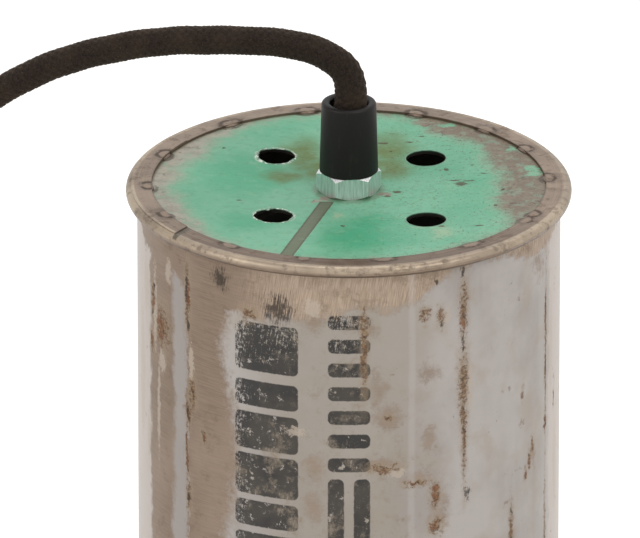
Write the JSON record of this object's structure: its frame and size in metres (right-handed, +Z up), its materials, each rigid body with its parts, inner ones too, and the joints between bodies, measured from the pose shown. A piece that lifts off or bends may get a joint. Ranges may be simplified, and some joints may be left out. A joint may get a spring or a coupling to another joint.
{
  "type": "pendant lamp",
  "caption": "Pendant lamp with a shade made from a re-used steel canister: vented green end disc, cord grip, textile flex, ceiling rose, and a lampholder with bulb inside.",
  "frame": {"origin": "centre of the circle that the canister's open, hemmed end stands on", "axes": "+Z up along the canister's axis to the end disc and cord grip, -Y to the front, +X to the front view's right, where the flex leaves to -X"},
  "size_m": [0.1941, 0.2094, 0.2915],
  "materials": {
    "lacquered_steel": "worn grey lacquer over steel, scratched and rust-streaked",
    "bare_steel": "bare, stained",
    "green_enamel": "worn green paint",
    "zinc_steel": "zinc plated",
    "dark_steel": "blackened",
    "black_plastic": "satin",
    "black_phenolic": "polished",
    "porcelain": "glazed",
    "brass": "bright",
    "textile_flex": "braided",
    "brown_core": "satin",
    "blue_core": "satin",
    "earth_core": "satin, striped",
    "clear_glass": "clear",
    "bulb_metal": "rolled",
    "black_glass": "glossy",
    "solder": "dull",
    "phosphor": "matte",
    "tie_strap": "woven",
    "black_enamel": "satin",
    "white_plastic": "satin"
  },
  "bodies": {
    "lamp": {"canister_shell": "lacquered_steel", "end_ring": "bare_steel", "end_disc": "green_enamel", "gland_nut": "zinc_steel", "inner_nut": "zinc_steel", "toothed_washer": "zinc_steel", "earth_tag": "zinc_steel", "threaded_nipple": "zinc_steel", "cord_grip": "black_plastic", "grip_screw": "dark_steel", "holder_cap": "black_phenolic", "holder_skirt": "black_phenolic", "holder_insert": "porcelain", "screw_shell": "brass", "centre_contact": "brass", "terminal_blocks": "brass", "terminal_screws": "brass", "flex_tail": "textile_flex", "core_brown": "brown_core", "core_blue": "blue_core", "core_earth": "earth_core", "cord": "textile_flex", "cord_coil": "textile_flex", "cord_end": "textile_flex", "cord_tie": "tie_strap", "rose_cup": "black_enamel", "rose_bracket": "zinc_steel", "rose_screws": "zinc_steel", "rose_nut": "zinc_steel", "rose_nipple": "zinc_steel", "rose_grip": "black_plastic", "rose_grip_screw": "dark_steel", "terminal_block": "white_plastic", "rose_flex_tail": "textile_flex", "rose_core_brown": "brown_core", "rose_core_earth": "earth_core", "rose_core_blue": "blue_core"},
    "bulb": {"bulb_glass": "clear_glass", "bulb_cap": "bulb_metal", "bulb_insulator": "black_glass", "bulb_tip": "solder", "bulb_stem": "clear_glass", "bulb_filaments": "phosphor"}
  },
  "joints": [
    {"name": "bulb_unscrew", "type": "slide", "parent": "lamp", "child": "bulb", "axis": [0, 0, -1], "range_m": [0, 0.027]}
  ]
}
